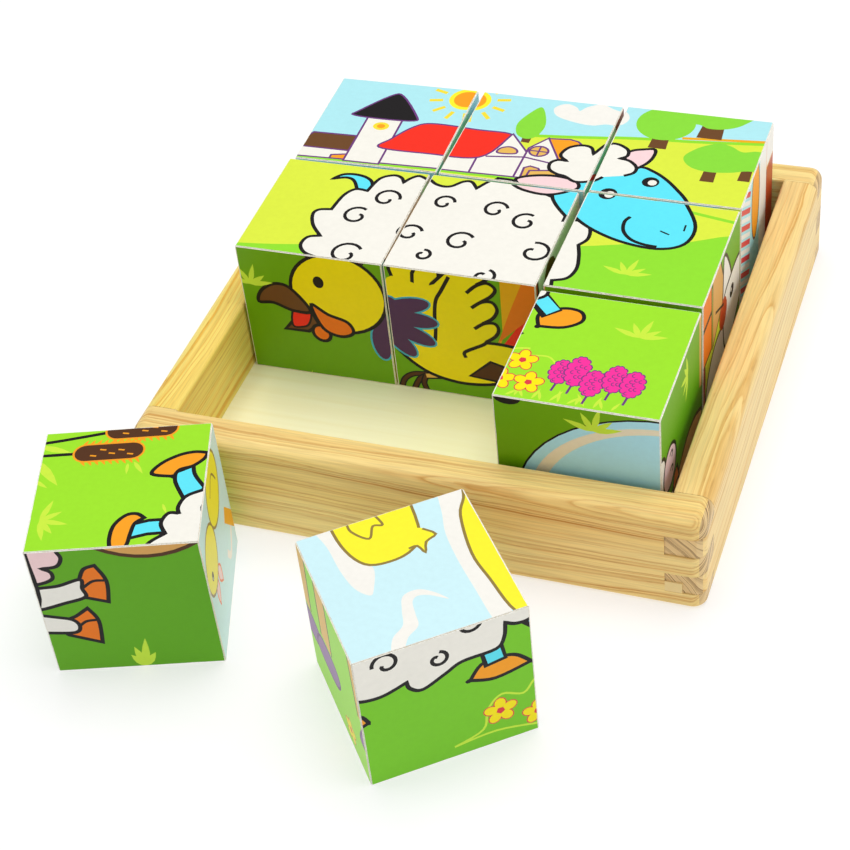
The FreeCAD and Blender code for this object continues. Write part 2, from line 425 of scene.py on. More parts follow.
def sheep(art):
    """A woolly sheep with a blue face, legs and tail, and orange shoes."""
    art.shape(scallops(
        [(27, 69.6), (26, 73.4), (23.6, 75.4), (20.2, 76.1), (17, 75.4), (14.9, 73)],
        [(14.9, 73), (18.4, 74.3), (21, 73.2), (23.4, 69)],
    ), "blue")
    art.shape(scallops(
        [(16.7, 32.7), (20, 32.9), (25.4, 35.2)],
        [(24, 41), (18.3, 37.5), (14.8, 36.7)],
    ), "blue")
    art.shape(scallops(
        [(18, 32.4), (16.7, 27.1), (13.3, 29), (10.8, 33), (10, 36.7), (10.6, 39.8)],
        [(10.6, 39.8), (12.6, 39), (14.8, 36.6), (15.8, 33.6), (18, 32.4)],
    ), "orange")
    art.shape([(33.2, 23.6), (32.1, 28), (32.1, 31.8), (36.4, 31.8), (36.5, 28), (37.6, 23.6)], "blue")
    art.shape(scallops(
        [(41.8, 20.6), (38.3, 19.5), (33.3, 19.9), (30, 22.4), (29.7, 25), (31.2, 26.8)],
        [(31.2, 26.8), (32.8, 24.8), (36, 24.1), (40, 23.4), (41.8, 20.6)],
    ), "orange")
    leg(art, (70.5, 32), (71.4, 26),
        [(65.2, 23.2), (65.2, 23.2), (68, 27), (72, 27.6), (76, 26.6), (79.4, 23), (79.4, 23),
         (71, 21.4)])
    leg(art, (75.8, 42), (85.4, 31.4),
        [(82.4, 31), (83.4, 26.4), (83.4, 26.4), (89.4, 27.2), (93.2, 30.4), (92, 33.8),
         (87.4, 34.2)])
    fleece = scallops(
        [(56.5, 81), (55, 79), (53.3, 76.2)],
        [(53.3, 76.2), (51.2, 78.7), (49, 78.4), (46.6, 75.9), (44.5, 75.3), (42, 76), (40, 77.5),
         (37.4, 78.6), (35.4, 77), (34.3, 75)],
        [(34.3, 75), (33, 77), (30.5, 77.6), (27.4, 75.4), (26, 69.6)],
        [(26, 69.6), (22.6, 69.7), (20.4, 66.4), (19.4, 60)],
        [(19.4, 60), (16.2, 59.2), (15.3, 57), (17, 52.6), (20.5, 48.5)],
        [(20.5, 48.5), (17.5, 47.4), (16.8, 44), (19, 41), (23.2, 39.6)],
        [(23.2, 39.6), (25, 35.8), (28.3, 34.3), (30.8, 34.8)],
        [(30.4, 34.6), (30.2, 32.2), (33.3, 30.8), (36.7, 32.1)],
        [(36.7, 32.1), (39.2, 28.8), (42, 27.6), (46, 27.5), (51.2, 29.2)],
        [(51.2, 29.2), (51.8, 27), (54.6, 25.4), (60, 28), (64, 30), (71.7, 30.4), (73.8, 33.3),
         (74.3, 37.5)],
        [(74.3, 37.5), (76.6, 36.2), (79.6, 36.2), (82, 38.4), (81.6, 42.3)],
        [(81.6, 42.3), (85, 44), (86.2, 48), (85.4, 53), (84, 57.5)],
        [(84, 57.5), (85.6, 60.4), (85, 64.6), (82.4, 67.2), (79.4, 67.2)],
        [(79.4, 69), (78, 73.6), (73, 76.8), (66, 79), (61, 80.8), (56.5, 81)],
    )
    art.shape(fleece, "wool")
    curls = (
        (32.4, 67.5, 3.3, 0, 1), (26.8, 58.9, 3.2, 55, 1), (29.7, 43, 3.8, 33, 1),
        (47.1, 68.6, 2.6, 10, 1), (61.1, 68.4, 3.0, 18, 1), (69.9, 64.9, 3.1, 60, 1),
        (42.5, 54.4, 3.0, 20, 1), (56.2, 53.6, 3.4, 34, 1), (75.9, 53.3, 3.6, 105, -1),
        (48.6, 46.3, 1.9, 98, -1), (66.4, 41, 2.7, 76, -1), (47, 37, 2.8, 186, -1),
        (58.8, 33.3, 2.0, 80, -1),
    )
    for x, y, radius, start, hand in curls:
        art.line(curl(x, y, radius, start, hand), width=0.9)
    art.blob([
        (80, 90), (90, 92.8), (94, 91.7), (98, 89), (102, 85), (106, 80), (110.6, 71), (109.6, 63.4),
        (103.4, 60.1), (93.6, 61.2), (84.4, 65.2), (78, 70.6), (73.6, 77), (74.5, 83),
    ], "blue")
    art.stroke([(93.6, 71.7), (92.7, 69.4), (93.4, 65.6), (96, 62.6), (99.6, 61.2), (103.2, 60.9)])
    art.line([(102.4, 67.5), (105, 66.4)], width=0.5)
    art.line([(108.1, 71.2), (108.2, 68.6)], width=0.5)
    for x, y in ((94.7, 86.8), (85.3, 79.9)):
        art.fill(oval(x, y, 2.3, 2.2, steps=18), "black")
        art.fill(oval(x + 0.5, y - 0.2, 1.2, steps=12), "white")
    art.blob([
        (85, 97), (86.4, 99.6), (89, 100.8), (92.3, 101.3), (92.6, 97.6), (91.2, 94), (88.6, 92),
    ], "pink")
    art.blob([
        (61, 81.6), (65, 84), (71, 85), (76.6, 83.8), (78, 80.8), (74, 77.8), (69.6, 77.2), (64, 78.6),
    ], "pink")
    curly_top = scallops(
        [(87.2, 88.2), (89.4, 90), (89.4, 92.6), (87, 95), (84.2, 95.6)],
        [(84.2, 95.6), (85.8, 97), (85.6, 99.4), (84, 101), (81.6, 102), (79.8, 101.2), (77.9, 96.6)],
        [(77.9, 96.6), (76.6, 99.4), (74, 100), (71, 98.6), (69.6, 96), (69.7, 94), (71.8, 92.2)],
        [(71.8, 92.2), (69.4, 92.2), (67.8, 90.4), (68.4, 87.6), (70.8, 86), (73.2, 85.4), (76.4, 83.6),
         (80, 84.4), (82, 86.6)],
    )
    art.fill(curly_top, "wool")
    art.line(curly_top)


def leg(art, hip, ankle, shoe):
    """One blue leg and its orange shoe."""
    art.shape(smooth(shoe), "orange")
    art.line([hip, ankle], "black", 5.6)
    art.line([hip, (ankle[0], ankle[1] + 0.9)], "blue", 3.7)


def marsh(art):
    """Two bulrushes and a few blades of grass."""
    for x, low, high, foot in ((8, 10.5, 21.5, 8), (0.8, 17.5, 29, 4)):
        art.stroke([(foot, -4), (foot * 0.7 + x * 0.3, 4), (x, low)], width=1.0)
        for i in range(9):
            y = low - 1 + (high - low + 2) * i / 8
            for side in (-1, 1):
                art.fill(blade(x + side * 2.2, y, 2.6, 0.4, 90 - side * 62), "orange")
        for width, tint in ((6.4, "orange"), (5.4, "dark_brown")):
            foot_end = oval(x, low, width / 2, start=180, stop=360, steps=10)
            top_end = oval(x, high, width / 2, start=0, stop=180, steps=10)
            art.fill(foot_end + top_end, tint)
        for i, side in enumerate((0.9, -1.0, 0.4, -0.6, 1.0)):
            y = low + (high - low) * (i + 0.5) / 5
            art.line([(x + side, y), (x + side + 0.3, y + 1.5)], "orange", 0.45)
    for x, y, length, lean in (
        (9.5, -1, 11, 34), (4.6, -1, 8.6, 70), (12.4, 21, 3.8, 0), (12, 22.4, 5, 30), (16, -1, 5, 50),
        (27, 30.6, 3.4, 20),
    ):
        art.fill(blade(x, y, length, 0.11 * length, lean), "tuft")


def flower_bed(art):
    """Yellow blossoms and spikes of magenta flowers over short grass."""
    art.stroke([
        (60, 3.4), (67, 6), (68.5, 12), (72, 15.6), (77, 13.6), (80, 17), (84, 18),
    ], "tuft", 0.6)
    art.stroke([(60, 3.4), (70, 4.2), (80, 2)], "tuft", 0.6)
    art.stroke([(85, 15.6), (89, 16), (91.4, 14)], "tuft", 0.5)
    for i in range(13):
        art.fill(blade(83 + 2.1 * i, 0.8, 3.4 + (i * 7 % 4) * 0.5, 0.4, 45 + i * 37 % 85), "tuft")
    for x, y, size in ((93.4, 11.4, 4.4), (97.2, 12.4, 5.6), (101.6, 9, 4.8), (106.4, 11.6, 5.0),
                       (110.8, 10.6, 4.8)):
        art.line([(x, y - 4), (x - 0.5, y - size - 2.6)], "mauve", 0.6)
        for rim, tint in ((0.3, "mauve"), (0.0, "magenta")):
            art.fill(puffs(x, y, 2.2 + rim, size * 0.9 + rim, 13, 0.36, turn=8, steps=4), tint)
        for i in range(9):
            angle = 2.4 * i
            reach = 0.2 + 0.08 * i
            spot = (x + 2.1 * reach * math.cos(angle), y + size * reach * math.sin(angle))
            art.line(oval(*spot, 0.55, start=90, stop=300, steps=5), "mauve", 0.22)
    for x, y, radius in ((83.4, 13.6, 3.6), (80, 6.2, 3.6), (87, 6.2, 3.6), (71.4, 10.4, 3.9)):
        art.flower(x, y, radius)


def bird_picture():
    """A farm bird with a purple collar and a bright tail walks past a pond."""
    art = landscape(hill=96, far="lime", near="pasture", low="pasture")
    art.fill([(-5, 92), (125, 86), (125, -5), (-5, -5)], "pasture")
    art.sun(100, 106, 5)
    art.cloud(70, 108, 11, 4.5)
    art.tree(14, 104, 8, 6.5, 4.4)
    pond = (122, 9, 37.5, 30.5)
    art.shape(oval(*pond, steps=48), "pond", width=0.5)
    ripple = oval(pond[0], pond[1], pond[2] * 0.92, pond[3] * 0.92, start=20, stop=190, steps=36)
    ripple += oval(pond[0] + 1.2, pond[1] - 1, pond[2] * 0.875, pond[3] * 0.9, start=190, stop=20,
                   steps=36)
    art.fill(ripple, "sand")
    art.tuft(104, 33.5, 7.5)
    bird_back(art)
    bird_head(art)
    art.tuft(2.6, 68, 7)
    art.tuft(15.1, 36.2, 5)
    art.tuft(26, 16, 7)
    art.tuft(60, 24, 6)
    for x, y in ((10, 12), (46, 8), (72, 14)):
        art.flower(x, y, 3.4)
    art.line([(80.6, 42.5), (86.6, 42.5)], width=1.2)
    art.fill(oval(83.6, 40, 3.4, 2.2, steps=18), "black")
    return art


def bird_back(art):
    """The bird's tail, legs, body, wing and collar."""
    for tint, ray in (
        ("amber", [(69, 58), (70.5, 64), (70.7, 80), (71, 101), (84, 100), (76.4, 80), (72.8, 70),
                   (70, 60)]),
        ("deep_orange", [(69, 59.6), (72.6, 70), (76.4, 80), (84, 100), (93, 97), (80.5, 80),
                         (80.5, 70), (74, 65)]),
        ("red", [(70, 58.6), (74, 65), (80, 71), (98, 76), (106, 68), (90, 60), (74, 58.6)]),
    ):
        art.fill(ray, tint)
    art.line([(54, 46), (48, 45)], "black", 2.4)
    for toe in (
        [(48.6, 45.6), (45, 45), (42.4, 43), (41.2, 40)],
        [(48.6, 45.2), (46.4, 43.4), (44.6, 39.6)],
        [(48.4, 45), (47.6, 42.4), (48.6, 39)],
    ):
        art.stroke(toe, "black", 1.8)
        art.stroke(toe, "dark_brown", 1.0)
    art.line([(54, 46), (48.4, 45)], "ochre", 1.3)
    for x, y, length, lean in ((46, 70, 21, 96), (49, 69, 20, 76), (51, 66, 21, 60)):
        art.shape(blade(x, y, length, 3.6, lean), "yellow")
    belly = [(40.6, 76), (39.4, 60), (42, 52.4), (48, 47), (57, 44.4), (66, 45.4), (72, 49),
             (83, 52), (83, 58.6), (70, 59.4), (64, 60), (58, 70), (55, 76), (50, 75)]
    art.fill(smooth(belly), "yellow")
    art.stroke([(38.6, 62), (40.6, 54), (48, 47), (57, 44.4), (66, 45.2), (70.6, 47.6)])
    art.shape([(60.6, 47.2), (66.6, 53), (72, 51.4), (76, 48), (68, 46.6)], "dark_brown", width=0.7)
    art.patch([
        (57.5, 86), (57.5, 79), (55, 74.2), (53.3, 70.8), (52.5, 62), (52, 54), (62, 54), (66, 59.6),
        (65.4, 66), (65, 72), (64.5, 78), (66, 86),
    ], "yellow")
    for feather in (
        [(59, 80), (62.5, 83), (66.5, 84.6), (69, 82.6), (67.4, 79.8), (64.5, 77.6)],
        [(61.7, 74.6), (64.5, 77.4), (67.4, 78.6), (69.4, 77), (68.2, 74.6), (65.2, 72.2)],
        [(62.7, 70), (65.5, 72.3), (68.3, 72.7), (69.5, 70.4), (68.2, 67.6), (65.4, 65.4)],
        [(63, 63.3), (65.8, 65.5), (68.6, 65.9), (69.5, 64), (68.4, 61.6), (65.8, 59.4)],
    ):
        curve = smooth(feather, False)
        art.fill(curve, "yellow")
        art.line(curve)
    art.stroke([(57.4, 79), (55, 74.2), (53.3, 70.8), (52.6, 66), (52.5, 61.7), (52, 57.5)])
    art.stroke([(66.4, 60), (65, 58.4), (60.8, 55.8), (59.6, 54.6), (60, 53.2)])
    art.stroke([(65.6, 59.2), (70, 59.3), (76, 58.8), (83, 58.6)])
    lobes = ((45, 67.6, 6.6, 16), (46.6, 63.4, 6.6, -2), (46, 58.6, 6.4, -22),
             (42.4, 55.4, 5.6, -48), (37.4, 54, 5.4, -84))
    for rim, tint in ((0.55, "teal"), (0.0, "plum")):
        for x, y, length, lean in lobes:
            art.fill(oval(x, y, length + rim, 2.4 + rim, lean, steps=20), tint)
        art.fill(oval(40, 62, 5 + rim, 8 + rim, steps=24), tint)


def bird_head(art):
    """The bird's yellow head, brown beak, red tongue and orange wattles."""
    for x in (22, 27.4, 32.6):
        art.shape(oval(x, 82.6, 3.1, 4.4, 16 - x / 2, steps=18), "red")
    art.shape(oval(27, 68.4, 13, 12.6, steps=40), "yellow")
    art.fill(oval(22, 71.6, 1.5, 1.9, steps=16), "black")
    art.shape([
        (10.6, 54.4), (13.2, 57.6), (13.6, 61.4), (18.8, 61.4), (20.4, 57.4), (17.2, 54.6),
    ], "brown")
    art.shape(smooth([
        (13.8, 61.2), (18.4, 61.2), (17.6, 57.2), (15.4, 55.8), (12.9, 56),
    ], steps=4), "red", width=0.6)
    art.shape(oval(20.8, 54.6, 2.4, 2.7, 30, steps=18), "deep_orange")
    art.blob([
        (19, 63.8), (23.4, 61.2), (28.6, 59.4), (29.8, 56), (26, 54.3), (21.4, 56.4),
    ], "deep_orange")
    art.blob([
        (4.2, 62.6), (5.4, 66.4), (9.4, 69.2), (13.8, 68.4), (18.6, 61.6), (13.6, 61), (8.4, 62.8),
    ], "brown")


def cow_picture():
    """A white and brown cow grazes beside its barn."""
    art = landscape(hill=78, near="field", low="field")
    art.sun(18, 108, 4.8)
    art.cloud(48, 111, 10, 4.4)
    art.shape([(76, 78), (111, 78), (111, 89), (76, 89)], "rust", width=0.7)
    art.shape([(111, 78), (124, 78), (124, 89), (111, 89)], "white", "tan", width=0.7)
    art.fill([(72, 97), (84, 121), (124, 121), (124, 97)], "sky")
    for x in range(84, 132, 5):
        art.line([(x, 121), (x - 7, 109)], "crimson", 1.5)
        art.line([(x + 2.4, 121), (x - 4.6, 109)], "cloud", 1.2)
    art.fill([(76, 89), (124, 89), (124, 97.4), (76, 97.4)], "cloud")
    art.shape(oval(111, 102.5, 12.6, 4.7, steps=28), "orange", "brown", 0.7)
    art.fill([(96, -5), (122, -5), (122, 2.4), (98, 2.4)], "tan")
    for x in (100, 112):
        art.shape([(x, 71), (x + 11.4, 71), (x + 11.4, 80), (x, 80)], "deep_orange", width=0.7)
    art.shape([(99, 70), (121, 70), (121, 62), (108, 56)], "tan", width=0.7)
    art.shape(oval(65, 12, 28.5, 24, steps=48), "tan", "dark_brown", 1.1)
    art.shape(oval(65, 12, 20, 15, steps=40), "ochre", "dark_brown", 0.7)
    for tint, width in (("black", 3.2), ("white", 1.8)):
        art.stroke([(14, 74), (7, 70), (6, 58), (9, 50)], tint, width)
    art.blob([(9, 51), (6, 46), (8, 42), (12, 45)], "brown")
    cow_legs(art)
    art.shape(scallops(
        [(44, 33), (40, 32.5), (37.5, 31.8), (35, 33.3), (34.6, 36.9)],
        [(34.6, 36.9), (33.3, 35), (31.2, 35), (30, 37.1), (29.4, 40)],
        [(29.4, 40), (36, 44), (44, 42), (44, 33)],
    ), "pink")
    art.blob([
        (14, 70), (16, 50), (22, 40), (40, 39.6), (60, 40), (80, 40), (90, 48), (98, 60), (96, 72),
        (84, 78), (50, 76), (24, 79),
    ], "white")
    for x, y, rx, ry, turn in ((30, 66, 9, 7, 20), (52, 60, 8, 10, -30), (72, 68, 7, 5.4, 10),
                               (24, 50, 4, 5, 30), (66, 47, 5.6, 3.4, 0)):
        art.fill(puffs(x, y, rx, ry, 6, 0.16, turn=turn), "brown")
    art.blob([(103, 58.4), (109, 58.8), (118.6, 57.4), (113.4, 52.4), (106, 50)], "white")
    art.blob([
        (88, 56), (98, 58.6), (105.6, 57.6), (107.4, 51), (107.6, 42), (104.6, 36.4), (95, 38),
        (88, 48),
    ], "white")
    art.fill(puffs(101.4, 58.6, 4.4, 3.8, 6, 0.2), "rust")
    art.line([(108, 67), (104, 58)], width=0.8)
    art.blob([
        (93.4, 36), (92.4, 31), (95.4, 26.8), (101.4, 26.6), (104.8, 31), (103.4, 36), (98, 38),
    ], "pink")
    art.line(oval(96.6, 30.6, 1.0, 1.4, start=200, stop=420, steps=10), width=0.6)
    art.line(oval(101.4, 30.8, 1.0, 1.4, start=200, stop=420, steps=10), width=0.6)
    art.eye(101.6, 49, 1.9)
    for length, lean in ((9.6, -8), (7, 14), (5.4, -34), (5, 36)):
        art.fill(blade(0.2, 19, length, 1.0, lean), "tuft")
    art.tuft(112, 14, 7)
    return art


def moved(points, shift):
    """The same points, shifted."""
    return [(x + shift[0], y + shift[1]) for x, y in points]


def cow_legs(art):
    """Two pairs of white legs with split orange hooves."""
    for shift in ((0, 0), (58.8, 0.6)):
        for hoof, cleft, shin in (
            (([(12.3, 35), (17, 34.4), (18.6, 32), (20.9, 29)], [(20.9, 29), (16.6, 27.2), (9.2, 27.7)],
              [(9.2, 27.7), (12.3, 35)]),
             [(15.3, 31.7), (16.6, 30), (16.9, 27.2)],
             [(19.9, 42), (18.4, 36.3), (17.7, 33.8), (16.6, 32.4), (15, 31.9), (13.4, 32.6), (13, 35),
              (13.7, 42)]),
            (([(24.4, 28.6), (27, 30), (30.6, 28.9)], [(30.6, 28.9), (33.6, 27.4), (34.6, 24.7)],
              [(34.6, 24.7), (29.4, 22.9), (22.6, 23.7)], [(22.6, 23.7), (24.4, 28.6)]),
             [(27.7, 28.6), (29.6, 26), (29.6, 23.1)],
             [(28.2, 42), (28.4, 38), (28.8, 34), (30.4, 28.8), (27.4, 28.9), (24.6, 28.7),
              (22.9, 34), (21.5, 38.7), (21, 42)]),
        ):
            art.shape(moved(scallops(*hoof), shift), "deep_orange")
            art.line(moved(smooth(cleft, False), shift), width=0.8)
            art.shape(moved(scallops(shin), shift), "cloud")


def duck_picture():
    """A duck and her chicks swim on a pond."""
    art = Drawing("sky")
    art.patch([(-20, 92), (30, 95), (80, 91), (140, 95), (150, 40), (-30, 40)], "grass")
    art.fill([(-5, 84), (40, 83), (90, 85), (125, 83), (125, -5), (-5, -5)], "water")
    art.sun(22, 110, 4.8)
    art.cloud(60, 110, 11, 4.6)
    art.tree(100, 108, 9, 7, 4.6)
    for x, y in ((10, 86), (60, 87), (112, 88)):
        art.tuft(x, y, 8)
    for path in (
        [(8, 60), (18, 64), (27, 60)],
        [(88, 20), (99, 24), (112, 20)],
        [(4, 30), (10, 34), (14, 30)],
    ):
        art.line(smooth(path, False), "cloud", 2.0)
    art.patch([
        (75, 43), (72.8, 34), (71.4, 28), (71, 20), (71.3, 10), (72.1, -2), (75.9, -2), (76, 10),
        (75.6, 20), (76, 28), (79, 37), (80, 43),
    ], "cloud")
    art.patch([
        (44.6, 43), (46, 35), (46.4, 27), (47.6, 20.6), (50, 17.2), (51.4, 18.6), (53.4, 24.6),
        (51, 28), (50, 34), (49, 43),
    ], "cloud")
    art.patch([
        (48.8, -1), (50.4, 3.4), (53.6, 6), (54.8, 10), (56.4, 14), (60, 14.6), (63, 12.4), (65.2, 9.2),
        (62, 11.8), (59.4, 12.8), (57.8, 11.6), (57.2, 8), (56.6, 4.6), (53.6, 2.4), (51.2, -1),
    ], "cloud")
    line = dict(edge="khaki", width=0.7)
    art.blob([
        (74.5, 20), (75.3, 11), (76.9, 0), (82, -5), (104, -3), (116, 8), (119, 26), (110, 33),
        (101, 31), (98, 40), (94, 62), (84, 66), (76, 60), (80, 46), (79.4, 38), (76.4, 32),
    ], "chick", **line)
    art.blob([(88, 10), (100, 8), (108, 16), (104, 24), (92, 22), (86, 17)], "yellow", **line)
    art.blob([(78, 57), (72, 56), (66, 52.6), (68, 49), (76, 50.6)], "orange", **line)
    art.eye(84, 57, 1.7)
    art.blob([
        (48.6, 46), (49, 34), (52, 26.6), (57.6, 25), (63, 26.4), (66.4, 31), (67.4, 46), (64, 56),
        (57, 60), (50, 56),
    ], "chick", **line)
    art.fill(smooth([
        (62, 28.4), (64.6, 27), (65.4, 24.2), (67, 27.2), (69.6, 28.8), (67, 32), (64, 32),
    ], steps=3), "chick")
    art.line(smooth([
        (62.4, 27), (64.4, 27), (65.4, 24.4), (66.6, 27.4), (69.4, 28.8), (67.2, 31.6),
    ], False, 3), "khaki", 0.6)
    art.stroke([
        (52.4, 41), (52.4, 37.4), (55.4, 33.6), (57.4, 37), (59.6, 36.6), (58.6, 41),
    ], "khaki", 0.6)
    art.blob([(50, 52), (45, 51.6), (42, 49), (46, 47)], "orange", **line)
    art.eye(54, 53, 1.2)
    art.shape(oval(15.6, 7, 9.4, 9, steps=28), "chick", **line)
    art.stroke([(10, 9), (14, 4), (20, 6)], "khaki", 0.6)
    for side, lean in ((-1.6, 112), (2, 84)):
        art.shape(blade(29 + side, 21, 8, 1.9, lean), "pink", "deep_orange", 0.6)
    art.shape(oval(31.6, 14.4, 8.4, steps=28), "chick", **line)
    art.eye(34, 17.4, 1.1)
    art.fill(band([(-2, 34), (9, 22)], 4), "amber")
    return art


def horse_picture():
    """A foal stands in the meadow beside a fence."""
    art = landscape(hill=103, far="grass", near="grass", low="meadow")
    art.sun(98, 108, 5)
    art.cloud(64, 110, 10, 4.4)
    art.tree(16, 104, 8.4, 6.6, 4.4)
    for x in range(2, 122, 17):
        art.shape([(x, 72), (x + 3.4, 72), (x + 3.4, 92), (x, 92)], "tan", "brown", 0.6)
    for y in (77, 86):
        art.shape([(-3, y), (123, y + 1), (123, y + 3.4), (-3, y + 2.4)], "tan", "brown", 0.6)
    for x, lean in ((34, -3), (43, -5), (57, -2), (80, 5), (90, 3)):
        for tint, width in (("black", 8.2), ("ochre", 7)):
            art.line([(x, 46), (x + lean * 0.4, 22)], tint, width)
        art.blob([
            (x - 8 + lean, 13), (x - 4 + lean, 20), (x + 5, 20), (x + 7, 16), (x + 2, 12.4),
        ], "violet", "mauve", 0.8)
    art.blob([
        (26, 62), (30, 46), (44, 42), (66, 42), (90, 42), (96, 56), (94, 68), (80, 72), (50, 70),
        (34, 73),
    ], "ochre", width=0.8)
    art.blob([
        (84, 66), (88, 84), (96, 94), (108, 92), (116, 80), (114, 74), (104, 78), (100, 66), (94, 56),
    ], "ochre", width=0.8)
    for i in range(6):
        art.shape(oval(86.4 + 1.2 * i, 68 + 5 * i, 3.6, 4, 30, steps=16), "brown", width=0.6)
        art.shape(oval(25 - 0.8 * i, 66 - 4.4 * i, 2.8, 4, -16, steps=16), "brown", width=0.6)
    art.blob([(96, 92), (95, 99), (99, 97), (101, 92)], "ochre", width=0.8)
    art.eye(104.6, 86.4, 1.8)
    art.fill(oval(112.6, 79, 0.9, steps=10), "black")
    art.stroke([(107, 77), (110, 76), (113.4, 76.6)], width=0.6)
    art.tuft(8, 24, 7)
    art.tuft(106, 22, 7)
    for x, y in ((16, 8), (68, 6), (98, 10)):
        art.flower(x, y, 3.4)
    return art


def pig_picture():
    """A pig beside its trough."""
    art = landscape(hill=90)
    art.sun(20, 110, 4.8)
    art.cloud(86, 110, 11, 4.6)
    art.tree(108, 104, 8.4, 6.6, 4.4)
    art.shape(oval(60, 22, 46, 9, steps=40), "tan", "brown", 0.8)
    for x in (34, 48, 72, 84):
        art.shape([(x - 3.6, 24), (x + 3.6, 24), (x + 4.2, 40), (x - 4.2, 40)], "pink", width=0.8)
        art.shape([(x - 3.6, 22), (x + 3.6, 22), (x + 3.8, 26.6), (x - 3.8, 26.6)], "plum", width=0.8)
    for tint, width in (("black", 2.2), ("pink", 1.2)):
        art.line(curl(96, 62, 4.4, 200), tint, width)
    art.shape(oval(62, 54, 32, 22, steps=48), "pink")
    for x, turn in ((22, 30), (46, -30)):
        art.shape(blade(x, 78, 12, 4, 90 + turn), "pink", width=0.8)
    art.shape(oval(34, 68, 16.4, 15, steps=36), "pink")
    art.shape(oval(30, 62.6, 6.6, 5, steps=26), "crimson", width=0.8)
    for x in (27.8, 32.2):
        art.fill(oval(x, 62.6, 0.9, 1.5, steps=10), "black")
    for x in (27, 41):
        art.eye(x, 72, 1.8)
    art.tuft(12, 44, 7)
    art.tuft(104, 48, 8)
    for x, y in ((12, 10), (58, 6), (104, 12)):
        art.flower(x, y, 3.6)
    return art


# ---------------------------------------------------------------- printed papers

PICTURES = {
    "sheep": sheep_picture(),
    "bird": bird_picture(),
    "cow": cow_picture(),
    "duck": duck_picture(),
    "horse": horse_picture(),
    "pig": pig_picture(),
}

# How the six pictures wrap every cube while the sheep is on top:
# the way the face looks, and the way the top of its picture points.
X, Y, Z = Vector((1, 0, 0)), Vector((0, 1, 0)), Vector((0, 0, 1))
WRAP = {
    "sheep": (Z, Y),
    "bird": (-Y, Z),
    "cow": (X, -Y),
    "duck": (Y, -Z),
    "horse": (-X, Y),
    "pig": (-Z, Y),
}
# The two loose cubes lie turned: one about the upright axis, one rolled forward.
ROLLED = {
    "loose_left": Matrix.Rotation(math.radians(-90), 3, "Z"),
    "loose_right": Matrix.Rotation(math.radians(90), 3, "X"),
}
FACE_NODES = {
    (0, 0, 1): "top_picture",
    (0, 0, -1): "bottom_picture",
    (0, -1, 0): "front_picture",
    (0, 1, 0): "back_picture",
    (1, 0, 0): "side_pictures",
    (-1, 0, 0): "side_pictures",
}


def paper_outline():
    """Points round one paper square with its rounded corners, and the way out at each."""
    per_side, per_corner = 16, 4
    points, outward = [], []
    flat = PAPER_HALF - CORNER
    for side in range(4):
        c, s = round(math.cos(math.tau * side / 4)), round(math.sin(math.tau * side / 4))
        turn = np.array(((c, s), (-s, c)))
        for i in range(per_side):
            points.append(np.array((PAPER_HALF, flat * (2 * i / per_side - 1))) @ turn)
            outward.append(np.array((1.0, 0.0)) @ turn)
        for i in range(per_corner):
            angle = math.pi / 2 * i / per_corner
            way = np.array((math.cos(angle), math.sin(angle)))
            points.append((np.array((flat, flat)) + CORNER * way) @ turn)
            outward.append(way @ turn)
    return np.array(points), np.array(outward)


def clipped(starts, stops, half):
    """The parts of some straight edges that lie inside a square round the origin."""
    way = stops - starts
    first, last = np.zeros(len(starts)), np.ones(len(starts))
    for axis in (0, 1):
        for sign in (1, -1):
            speed = sign * way[:, axis]
            room = half - sign * starts[:, axis]
            with np.errstate(divide="ignore", invalid="ignore"):
                share = room / speed
            last = np.where(speed > 0, np.minimum(last, share), last)
            first = np.where(speed < 0, np.maximum(first, share), first)
            last = np.where((speed == 0) & (room < 0), -1, last)
    keep = (last - first) * np.linalg.norm(way, axis=1) > 1e-3
    way, first, last = way[keep], first[keep, None], last[keep, None]
    return starts[keep] + way * first, starts[keep] + way * last


def inside(points, outline):
    """Which points lie inside an outline, by how often it winds round them."""
    hit = np.zeros(len(points), bool)
    near = np.flatnonzero(((points > outline.min(0)) & (points < outline.max(0))).all(1))
    if not len(near):
        return hit
    x, y = points[near, 0:1], points[near, 1:2]
    (x0, y0), (x1, y1) = outline.T, np.roll(outline, -1, axis=0).T
    side = (x1 - x0) * (y - y0) - (x - x0) * (y1 - y0)
    rises = (y0 <= y) & (y1 > y) & (side > 0)
    falls = (y0 > y) & (y1 <= y) & (side < 0)
    hit[near] = rises.sum(1) != falls.sum(1)
    return hit


def wobble(number, i, count, size):
    """A small random number that changes slowly round a loop of count points."""
    angle = math.tau * i / count
    spot = Vector((3.1 * math.cos(angle), 3.1 * math.sin(angle), 5.7 * number))
    return size * noise.noise(spot * 4) + 0.6 * size * noise.noise(spot * 13)


